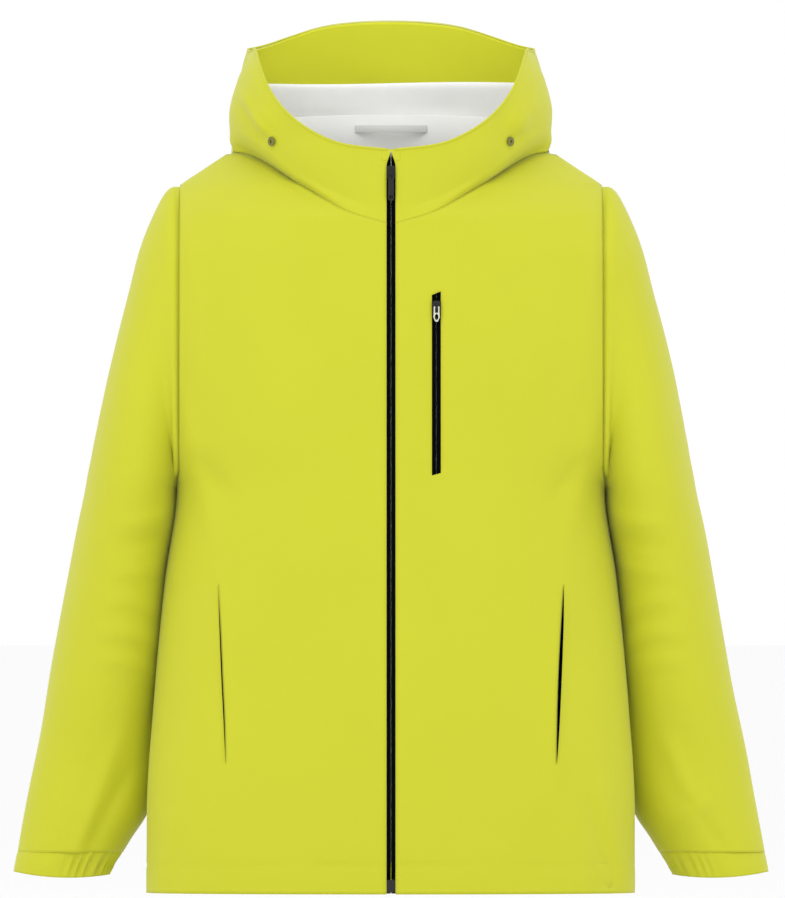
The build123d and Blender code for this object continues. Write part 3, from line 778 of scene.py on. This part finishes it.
def collar_grid(side):
    """The front of the hood, from the neck seam to the hood's edge, and from the closure to the side."""
    share = np.linspace(0, 1, COLLAR_COLUMNS)

    def point(h):
        taper = SLOT * (1 - ramp(h, 690, 705)) + 0.4 * ramp(h, 690, 705)
        start = angle_across(collar, taper, h)
        return section(collar, start + (math.pi / 2 - start) * share, h)

    bottom = solve_height(point, neck_seam, 600, 712, COLLAR_COLUMNS)
    top = solve_height(point, hood_edge, 690, 806, COLLAR_COLUMNS)
    rows = np.linspace(0, 1, 44)[:, None]
    height = bottom + (top - bottom) * rows
    grid = np.array([point(h) for h in height])
    edge = neck_edge()
    nearest = edge[np.argmin(np.linalg.norm(edge[None] - grid[0][:, None], axis=-1), axis=1)]
    pull = (1 - ramp(rows, 0, 0.22)) * (1 - ramp(share, 0.86, 1))[None, :]
    grid = grid + (nearest - grid[0]) * pull[..., None]
    out = normals_of(grid)
    x, depth, h = np.moveaxis(grid, -1, 0)
    rise = 1.6 * bump(rows, 0.11, 0.07) * ramp(x, 20, 60)
    rise += 1.3 * np.sin(x / 19 + h / 31 + (0 if side > 0 else 1.4)) * ramp(x, 40, 110) * ramp(rows, 0, 0.3)
    lock = np.hypot(x - LOCK_PLACE[0], (h - LOCK_PLACE[1]) * 0.75)
    rise += 4.0 * bump(lock, 0, 9) + 0.8 * bump(lock, 6.5, 1.6)
    add_folds(rise, x, h, LEFT_COLLAR_FOLDS if side > 0 else RIGHT_COLLAR_FOLDS)
    rise *= ramp(rows, 0, 0.08) * (1 - 0.9 * bump(rows, 1, 0.12))
    grid = grid + out * rise[..., None]
    grid[..., 0] *= side
    return grid


def make_collar(side_name, side):
    """One side of the front of the hood."""
    grid = collar_grid(side)
    inside = np.array([0, 20.0, 720.0])
    piece = grid_object(f"hood_front_{side_name}", grid, [nylon, backer], 1.2, outward=inside)
    fit(piece, "shell", f"hood_collar_{side_name}", f"chin_lining_{side_name}")
    return grid


def foot_at(h):
    """Where the hood's side starts at a height: on the shoulder and the back, or above them on the collar."""
    if h >= NECK_SIDE:
        row = collar(h)
        return row[0], row[3]
    x, depth = pouch_foot(h)
    wide, _, back_depth, widest, _, square = body(h)
    lying = widest + (back_depth - widest) * np.clip(1 - (x / wide) ** square, 0, 1) ** (1 / square)
    share = ramp(h, 600, 655)
    return x, depth * (1 - share) + lying * share


def pouch_section(h):
    """One level line of the hood behind the neck, from the left side round the back to the right side."""
    wide, _, back_depth, widest, _, square = pouch(h)
    foot_x, foot_depth = foot_at(h)
    q = np.linspace(0, 1, POUCH_SIDE, endpoint=False)
    side_x = foot_x + (wide - foot_x) * np.sin(q * math.pi / 2)
    share = 1 - np.cos(q * math.pi / 2) if h < 700 else q
    side_depth = foot_depth + (widest - foot_depth) * share
    groove = 5.0 * bump(q, 0.42, 0.24) * ramp(h, 690, 712) * (1 - ramp(h, 770, 806))
    angle = np.linspace(math.pi / 2, math.pi, POUCH_BACK)
    back_x = wide * np.abs(np.sin(angle)) ** (2 / square)
    back_d = widest + (back_depth - widest) * np.abs(np.cos(angle)) ** (2 / square)
    x = np.concatenate([side_x - groove, back_x])
    depth = np.concatenate([side_depth, back_d])
    half = np.stack([x, depth, np.full(len(x), float(h))], -1)
    return np.concatenate([half, (half * (-1, 1, 1))[-2::-1]])


def hood_wall(h, depth):
    """How far across the hood's side stands at a height and a depth."""
    line = pouch_section(h)[:POUCH_SIDE]
    return np.interp(depth, line[:, 1], line[:, 0])


def hood_back_grid():
    """The hood's outer cloth from one side round the back to the other, from the pouch's foot to the edge."""
    count = 2 * (POUCH_SIDE + POUCH_BACK) - 1
    crown = np.zeros(count)
    levels = np.linspace(800, POUCH_TOP, 60)
    lines = np.array([pouch_section(h) for h in levels])
    for i in range(count):
        x = np.abs(lines[:, i, 0])
        limit = hood_crown(x)[:, 0]
        over = np.flatnonzero(levels >= limit)
        crown[i] = levels[over[0]] if len(over) else levels[-1]
    q = np.minimum(np.arange(count), np.arange(count)[::-1]) / POUCH_SIDE
    crown = np.convolve(np.pad(crown, 3, mode="edge"), np.ones(7) / 7, mode="valid")
    crown[q < 0.3] = 804.0
    crown -= 3.5 * np.where(q < 1, np.sin(np.clip(q, 0, 1) * math.pi), 0)
    rows = np.linspace(0, 1, 84) ** 0.92
    heights = POUCH_FOOT + (crown[None, :] - POUCH_FOOT) * rows[:, None]
    steps = np.linspace(POUCH_FOOT, POUCH_TOP, 275)
    fine = np.array([pouch_section(h) for h in steps])
    grid = np.zeros((len(rows), count, 3))
    for i in range(count):
        for k in range(2):
            grid[:, i, k] = np.interp(heights[:, i], steps, fine[:, i, k])
    grid[..., 2] = heights
    return grid, rows


def hood_back_folds(grid, rows):
    """Soft folds of the pouch, deepest low on the back."""
    x, depth, h = np.moveaxis(grid, -1, 0)
    rise = 2.4 * np.sin(h / 17 + 1.1 * np.sin(x / 46) + x / 90) * (1 - ramp(h, 690, 790)) * ramp(h, 566, 600)
    rise += 1.8 * np.sin(x / 26 + h / 40) * np.sin(h / 33) * (1 - ramp(h, 740, 815))
    for way in (-1, 1):
        add_folds(rise, way * x, h, POUCH_FOLDS, ramp(depth, 120, 150))
    from_side = np.minimum(np.arange(grid.shape[1]), np.arange(grid.shape[1])[::-1]) / POUCH_SIDE
    return rise * (1 - ramp(rows, 0.93, 1.0))[:, None] * ramp(from_side, 0.1, 0.8)[None, :]


def make_hood_back():
    """The pouch of the folded hood and the facing inside its edge."""
    grid, rows = hood_back_grid()
    out = normals_of(grid)
    middle = grid.shape[1] // 2
    if (grid[40, middle] - POUCH_MIDDLE) @ out[40, middle] < 0:
        out = -out
    grid = grid + out * hood_back_folds(grid, rows)[..., None]
    piece = grid_object("hood_back", grid, [nylon, backer], 1.2, outward=POUCH_MIDDLE)
    fit(piece, "shell", "hood_pouch")
    edge = grid[-1]
    band = np.zeros((26, len(edge), 3))
    for i in range(len(edge)):
        target = np.linspace(edge[i, 2] - 0.6, RIDGE - 2, 26)
        for k in range(2):
            band[:, i, k] = np.interp(target, grid[:, i, 2], grid[:, i, k])
        band[:, i, 2] = target
    inward = normals_of(band)
    if (band[12, middle] - POUCH_MIDDLE) @ inward[12, middle] > 0:
        inward = -inward
    band = band + inward * (2.9 + 0.5 * np.sin(band[..., :1] / 31))
    # The facing's outside takes the brightened copy of the nylon, painted light on this shaded band.
    facing = grid_object("hood_facing", band, [facing_nylon_painted_light, nylon], 0.7, outward=np.array([0, 400.0, 800.0]))
    fit(facing, "shell", "hood_brim_facing")
    return grid


def make_neck_fold():
    """The white cloth behind the neck: up from the neck seam, over the fold, and down before the pouch."""
    across = np.linspace(-1, 1, 90)
    rows = []
    for h in np.linspace(733, RIDGE - 3, 16):
        wide = collar(h)[0] - 5
        x = across * (wide - 5 * np.abs(across) ** 6)
        row = collar(h)
        ratio = np.clip(1 - np.abs(x / row[0]) ** row[5], 0, 1) ** (1 / row[5])
        depth = row[3] + (row[2] - row[3]) * ratio
        rows.append(np.stack([x, depth, np.full(90, h)], -1))
    over = rows[-1].copy()
    for lift, back_step in ((2.4, 1.2), (3.0, 3.0), (2.0, 5.2)):
        rows.append(over + np.array([0, back_step, lift]))
    for h in np.concatenate([np.linspace(RIDGE - 8, NECK_SIDE, 16), np.linspace(700, 566, 26)]):
        row = pouch(h)
        wide = foot_at(h)[0] - 5 if h < NECK_SIDE else hood_wall(h, 46) - 4
        x = across * wide
        front_depth = -row[1]
        ratio = np.clip(1 - np.abs(x / row[0]) ** row[4], 0, 1) ** (1 / row[4])
        depth = row[3] - (row[3] - front_depth) * ratio
        if h < NECK_SIDE:
            edge_depth = foot_at(h)[1]
            depth = depth + (edge_depth - depth[0]) * np.abs(across) ** 6
        else:
            neck = collar(h)
            share = ramp(h, NECK_SIDE, 770)
            depth = depth + (neck[3] + 12 - depth[0]) * np.abs(across) ** 8 * share
            limit = np.array([hood_wall(h, d) for d in depth + 2.5]) - 6
            x = np.clip(x, -limit, limit)
        rows.append(np.stack([x, depth + 2.5, np.full(90, h)], -1))
    bottom = rows[-1]
    for share in (0.4, 0.8, 1.1):
        rows.append(bottom * (1 - 0.25 * share, 1, 1) + np.array([0, 16 * share, -4 * share]))
    grid = relax(np.array(rows), (2, len(rows) - 4), 3)
    x, depth, h = np.moveaxis(grid, -1, 0)
    grid[..., 1] += 1.2 * np.sin(x / 37 + h / 29) * ramp(h, 736, 750)
    grid[..., 2] += 1.5 * np.sin(x / 44) * ramp(h, 765, 773)
    piece = grid_object("hood_neck_fold", grid, [backer, backer], 1.0, outward=np.array([0, 90.0, 740.0]))
    fit(piece, "backer", "hood_neck_panel")


def make_hood():
    """The whole hood with its rolled edge."""
    fronts = {side: make_collar(side_name, side) for side_name, side in SIDES}
    behind = make_hood_back()
    make_neck_fold()
    left, right = fronts[1][-1], fronts[-1][-1]
    path = np.concatenate([left[1:], behind[-1][2:-2], right[::-1][:-1]])
    smooth = path - np.array([0, 0, 0.6])
    for _ in range(4):
        smooth[1:-1] = (smooth[:-2] + 2 * smooth[1:-1] + smooth[2:]) / 4
    fit(tube_object("hood_edge", smooth, 1.1, [nylon]), "shell")


# Lines that straight pieces follow: across, into the jacket, and along
def line_at(origin, turn=0.0, along=(0, 0, 1), side=1):
    """Turns (across, in, along) into the jacket's own millimetres."""
    along = np.array(along, float) / np.linalg.norm(along)
    across = np.array([math.cos(math.radians(turn)), math.sin(math.radians(turn)), 0])
    across -= along * (across @ along)
    across /= np.linalg.norm(across)
    inward = np.cross(along, across)

    def to(x, y, z):
        x, y, z = np.broadcast_arrays(x, y, z)
        offset = x[..., None] * across + y[..., None] * inward + z[..., None] * along
        return (np.array(origin, float) + offset) * (side, 1, 1)

    return to


MAIN = line_at((0, -FRONT, 0))
CHEST = line_at((CHEST_X, -FRONT + 1.3, 0), 3.6)


def hand_line(side, set_in=0.0):
    """The line of a hand pocket's slit, or one set in behind it."""
    along = np.array([7.0, 7.8, 172.0])
    to = line_at((POCKET[0], -87, POCKET[1]), 24, along, side)
    return lambda x, y, z: to(x, np.asarray(y) + set_in, z)


def bar(name, to, profile, heights, material, slot, node=None, ripple=0.0):
    """A closed outline swept along a straight line. ripple varies its depth like coiled teeth."""
    profile = np.array(profile, float)
    wave = ripple * (np.arange(len(heights)) % 2)[:, None]
    centre = profile[:, 1].mean()
    y = profile[None, :, 1] + np.sign(profile[None, :, 1] - centre) * wave
    grid = to(profile[None, :, 0], y, np.asarray(heights, float)[:, None])
    piece = grid_object(name, grid, [material], closed=True, caps=True)
    face_out(piece, grid)
    fit(piece, slot, *([node] if node else []))


def rounded_bar(x, y, corner=0.3):
    """A closed outline with small rounded corners between two distances across and two depths."""
    outline = []
    for cx, cy, start in ((x[1] - corner, y[1] - corner, 0), (x[0] + corner, y[1] - corner, 90),
                          (x[0] + corner, y[0] + corner, 180), (x[1] - corner, y[0] + corner, 270)):
        for turn in (start, start + 45, start + 90):
            a = math.radians(turn)
            outline.append((cx + corner * math.cos(a), cy + corner * math.sin(a)))
    return outline


TAPE_DEPTH = (2.1, 2.9)
COIL_DEPTH = (3.3, 4.8)
COIL_WIDTH = (0.6, 3.0)
COIL_PITCH = 0.75
LIP = [(0.35, 0.5), (0.5, 0.05), (1.1, -0.15), (1.9, 0.05), (2.4, 0.35)]


def tape_outline(side, width):
    """One tape of a zip with the rounded lip that meets its fellow."""
    y0, y1 = TAPE_DEPTH
    outline = [(x, y0 - 0.35 + y) for x, y in LIP] + [(width, y0), (width, y1 - 0.2), (0.5, y1 - 0.2)]
    outline = [(side * x, y) for x, y in outline]
    return outline if side > 0 else outline[::-1]


def zip_pair(stem, to, z, nodes, width=14.4, coils=None, coil_nodes=(None, None)):
    """Both tapes of a zip, and both rows of coiled teeth on their inner faces."""
    for index, (side_name, side) in enumerate(SIDES):
        heights = np.arange(z[0], z[1] + 0.1, (z[1] - z[0]) / 60)
        tape = tape_outline(side, width)
        bar(f"{stem}_tape_{side_name}", to, tape, heights, black_tape, "zip_tape", nodes[index])
        if coils:
            outline = rounded_bar(sorted(side * x for x in COIL_WIDTH), COIL_DEPTH, 0.6)
            turns = np.arange(coils[0], coils[1], COIL_PITCH)
            bar(f"{stem}_coil_{side_name}", to, outline, turns, black_coil, "zip_coil", coil_nodes[index],
                ripple=0.25)


def main_closure():
    """The front zip: wide tapes behind the fronts, narrow ones in the collar, and the cap over the top."""
    pair = ("left", "right")
    zip_pair("front_zip", MAIN, (15.0, 633.0), [f"main_zip_tape_{s}" for s in pair], coils=(16, 692),
             coil_nodes=[f"main_zip_coil_{s}" for s in pair])
    zip_pair("front_zip_top", MAIN, (633.0, 703.0), (None, None), width=7.4)
    zip_pair("front_zip_end", MAIN, (0.8, 15.0), (None, None), width=14.4)
    across = np.linspace(-9, 9, 37)
    peak = 704.8 - (np.abs(across) / SLOT) ** 0.8 * 9.5
    bottom = np.where(np.abs(across) < SLOT, peak, 695.3)
    rows = np.linspace(0, 1, 12)[:, None]
    height = bottom[None, :] + (705.6 - bottom[None, :]) * rows
    depth = -FRONT - 0.12 + 0.0058 * across[None, :] ** 2 + 0 * rows
    grid = np.stack([np.broadcast_to(across, height.shape), np.broadcast_to(depth, height.shape), height], -1)
    cap = grid_object("front_zip_cap", grid, [nylon, nylon], 0.3, outward=np.array([0, 0, 700.0]))
    fit(cap, "shell", "main_zip_garage")


def pocket_bag(name, centre, size, turn, node, square, side=1):
    """A flat closed bag with soft edges, standing along a turned plane."""
    to = line_at(centre, turn, side=side)
    over = np.linspace(0.02, math.pi - 0.02, 15)
    around = np.linspace(0, 2 * math.pi, 64, endpoint=False)
    c, s = np.cos(around), np.sin(around)
    ox = np.sign(c) * np.abs(c) ** (2 / square) * size[0] / 2
    oz = np.sign(s) * np.abs(s) ** (2 / square) * size[2] / 2
    spread = np.sin(over)[:, None] ** 0.5
    y = -np.cos(over)[:, None] * size[1] / 2 * (1 + 0.12 * np.sin(3 * around)[None, :])
    grid = to(ox * spread, y, oz * spread)
    piece = grid_object(name, grid, [backer], closed=True, caps=True)
    face_away(piece, grid.reshape(-1, 3).mean(0))
    fit(piece, "backer", node)


def chest_pocket():
    """The chest zip in its slot, and the bag behind it."""
    low, high = CHEST_ZIP
    zip_pair("chest_zip", CHEST, (low - 7.5, high + 7.5), ("chest_zip_tape", None), coils=(low - 2, high + 2),
             coil_nodes=("chest_zip_coil", None))
    pocket_bag("chest_bag", (64, -97.7, (low + high) / 2 + 5), (84, 2.4, high - low + 18), 0,
               "chest_pocket_bag", 8)


def hand_pocket(side_name, side):
    """A zip behind the slit, the welt along it, and the bag."""
    to = hand_line(side, 6.0)
    zip_pair(f"hand_zip_{side_name}", to, (-86, 86), (f"hand_zip_tape_{side_name}", None), coils=(-82, 82),
             coil_nodes=(f"hand_zip_coil_{side_name}", None))
    welt = rounded_bar((-12, -2), (4.2, 5.0))
    bar(f"hand_welt_{side_name}", hand_line(side), welt, np.linspace(-90, 90, 40), nylon, "shell",
        f"hand_pocket_welt_{side_name}")
    pocket_bag(f"hand_bag_{side_name}", (98, -91, POCKET[1]), (85, 2.4, 185), 11.3,
               f"hand_pocket_bag_{side_name}", 6, side)


def round_body(inset, height, front_gap):
    """A level line round the body, drawn in by inset, from one side of the closure to the other."""
    row = np.array(body(height))
    start = math.asin((front_gap / row[0]) ** (row[4] / 2))
    angle = np.linspace(start, 2 * math.pi - start, 260)
    return section(lambda h: body(h) - np.array([inset, inset, inset, 0, 0, 0]), angle, height)


def hem_pieces():
    """The hem's facing with its cord tunnel, and the elastic cord inside."""
    outline = [(1.25, 1.4), (1.3, 15.0), (1.35, 28.0), (1.9, 28.9), (2.6, 28.6), (3.4, 27.0), (6.0, 24.5),
               (7.9, 20.0), (8.1, 14.0), (7.9, 7.0), (6.0, 3.0), (3.0, 1.2)]
    grid = np.stack([round_body(inset, height, 17) for inset, height in outline], 1)
    piece = grid_object("hem_facing_cloth", grid, [nylon], closed=True, caps=True)
    face_out(piece, grid)
    fit(piece, "shell", "hem_facing")
    cord = tube_object("hem_cord", round_body(4.5, CORD_HEIGHT, 17.5), 1.05, [elastic])
    fit(cord, "elastic", "hem_drawcord")


def inner_flap():
    """The storm flap behind the zip, with a few slow waves."""
    across, height = np.meshgrid(np.linspace(-18, 14, 14), np.linspace(30, 686, 110))
    depth = -FRONT + 8.0 + 0.35 * np.sin(height / 41 + across / 9)
    grid = np.stack([across, depth, height], -1)
    piece = grid_object("inner_storm_flap", grid, [backer, backer], 0.9, outward=np.array([0, 0, 350.0]))
    fit(piece, "backer", "storm_flap")


NECK_FACING_HALF = 120
LOOP_HALF = 34


def neck_pieces():
    """The facing behind the neck and the loop that the jacket hangs from."""
    across = np.linspace(-NECK_FACING_HALF, NECK_FACING_HALF, 121)
    outline = [(3.75, 700.6), (3.75, 740.4), (4.1, 741), (4.6, 740.4), (4.75, 720), (4.55, 700.6), (4.1, 700)]
    grid = []
    for inset, height in outline:
        wide, _, back_depth, widest, _, square = collar(height) - np.array([inset, inset, inset, 0, 0, 0])
        depth = widest + (back_depth - widest) * (1 - (np.abs(across) / wide) ** square) ** (1 / square)
        grid.append(np.stack([across, depth, height - 4.0 * (across / NECK_FACING_HALF) ** 2], -1))
    grid = np.stack(grid, 1)
    facing = grid_object("back_neck_facing", grid, [backer], closed=True, caps=True)
    face_out(facing, grid)
    fit(facing, "backer", "neck_facing")
    way = curve([(-34, 10.8), (-27, 6.65), (-14, 2.2), (0, 0), (14, 2.2), (27, 6.65), (34, 10.8)])
    along = np.linspace(-LOOP_HALF, LOOP_HALF, 69)
    middle = np.stack([along, way(along)[:, 0] + LOOP_DEPTH, 0 * along], -1)
    step = np.gradient(middle, axis=0)
    side = np.stack([-step[:, 1], step[:, 0], 0 * along], -1)
    side /= np.linalg.norm(side, axis=1, keepdims=True)
    outline = rounded_bar((-0.6, 0.6), (0.0, 7.0), 0.3)
    grid = np.stack([middle + side * x + (0, 0, LOOP_HEIGHT + z) for x, z in outline], 1)
    loop = grid_object("loop_tape", grid, [white_tape], closed=True, caps=True)
    face_out(loop, grid)
    fit(loop, "loop_tape", "hang_loop")


def cuff_band(side_name, side):
    """The elastic inside the inner half of a cuff."""
    start = math.radians(84)
    turn = np.linspace(start, 2 * math.pi - start, 120)
    outline = [(1.9, 19.4), (1.9, 32.6), (2.2, 33), (2.9, 32.6), (3.1, 26), (2.9, 19.4), (2.2, 19)]
    grid = []
    for inset, height in outline:
        inner, outer, depth, half_depth = sleeve(height)
        wave = 0.25 * np.sin(turn * 60)
        x = (inner + outer) / 2 + ((outer - inner) / 2 - inset - wave - 1.6) * np.cos(turn)
        depth = depth + (half_depth - inset - wave - 1.6) * np.sin(turn)
        grid.append(np.stack([x, depth, np.full(len(turn), height)], -1))
    grid = np.stack(grid, 1) * (side, 1, 1)
    piece = grid_object(f"cuff_band_{side_name}", grid, [elastic], closed=True, caps=True)
    face_out(piece, grid)
    fit(piece, "elastic", f"cuff_elastic_{side_name}", body_name=f"arm_{side_name}")


def paint_cad():
    """Gives the CAD pieces that stay in view their finish."""
    finishes = {
        "slider": black_metal, "bright_metal": bright_metal, "zip_coil": black_coil, "fitting": fitting,
        "elastic": elastic, "loop_tape": white_tape, "zip_tape": black_tape, "backer": backer, "shell": nylon,
    }
    slots = {row["node"]: row["material_slot"] for row in frame["record"]["subparts"]}
    for name, node in frame["nodes"].items():
        node.data.materials.clear()
        node.data.materials.append(finishes[slots[name]])


FLOOR_HEIGHT, FLOOR_REACH = -0.80, 40.0  # metres, as is all that follows
LIGHTS = (
    ("key", (-1.8, -2.8, 1.8), 15, 2.0),
    ("fill", (2.4, -2.6, 0.6), 5, 3.0),
    ("neck", (0.2, -1.6, 2.2), 12, 1.4),
)
LIT_POINT = (0, 0, -0.3)
CAMERA_DISTANCE, VIEW_WIDTH, SENSOR = 24.0, 0.7457, 36
VIEW_MIDDLE = (0.0014, -0.1, -0.302)


def stage():
    """A white floor and backdrop, soft light, and a level camera in front."""
    world = bpy.data.worlds.new("white")
    bpy.context.scene.world = world
    world.use_nodes = True
    world.node_tree.nodes["Background"].inputs["Color"].default_value = (1, 1, 1, 1)
    world.node_tree.nodes["Background"].inputs["Strength"].default_value = 1.0
    white, _ = principled("white_floor", (0.96, 0.96, 0.96), 0.9)
    mesh = bpy.data.meshes.new("floor")
    ways = ((-1, -1), (1, -1), (1, 1), (-1, 1))
    corners = [(x * FLOOR_REACH, y * FLOOR_REACH, FLOOR_HEIGHT) for x, y in ways]
    mesh.from_pydata(corners, [], [(0, 1, 2, 3)])
    mesh.materials.append(white)
    floor = bpy.data.objects.new("floor", mesh)
    bpy.context.scene.collection.objects.link(floor)
    for name, where, energy, size in LIGHTS:
        light = bpy.data.lights.new(name, "AREA")
        light.energy, light.size = energy, size
        lamp = bpy.data.objects.new(name, light)
        lamp.location = where
        direction = np.array(LIT_POINT) - np.array(where)
        lamp.rotation_euler = Vector(direction).to_track_quat("-Z", "Y").to_euler()
        bpy.context.scene.collection.objects.link(lamp)
    camera = bpy.data.cameras.new("camera")
    camera.sensor_width = SENSOR
    camera.sensor_fit = "HORIZONTAL"
    camera.lens = SENSOR * CAMERA_DISTANCE / VIEW_WIDTH
    eye = bpy.data.objects.new("camera", camera)
    eye.location = (VIEW_MIDDLE[0], VIEW_MIDDLE[1] - CAMERA_DISTANCE, VIEW_MIDDLE[2])
    eye.rotation_euler = (math.pi / 2, 0, 0)
    bpy.context.scene.collection.objects.link(eye)
    bpy.context.scene.camera = eye
    bpy.context.scene.view_settings.view_transform = "Standard"


paint_cad()
for side_name, side in SIDES:
    make_front(side_name, side)
    make_sleeve(side_name, side)
    make_cuff(side_name, side)
    hand_pocket(side_name, side)
    cuff_band(side_name, side)
make_back()
make_hood()
main_closure()
chest_pocket()
hem_pieces()
inner_flap()
neck_pieces()
stage()
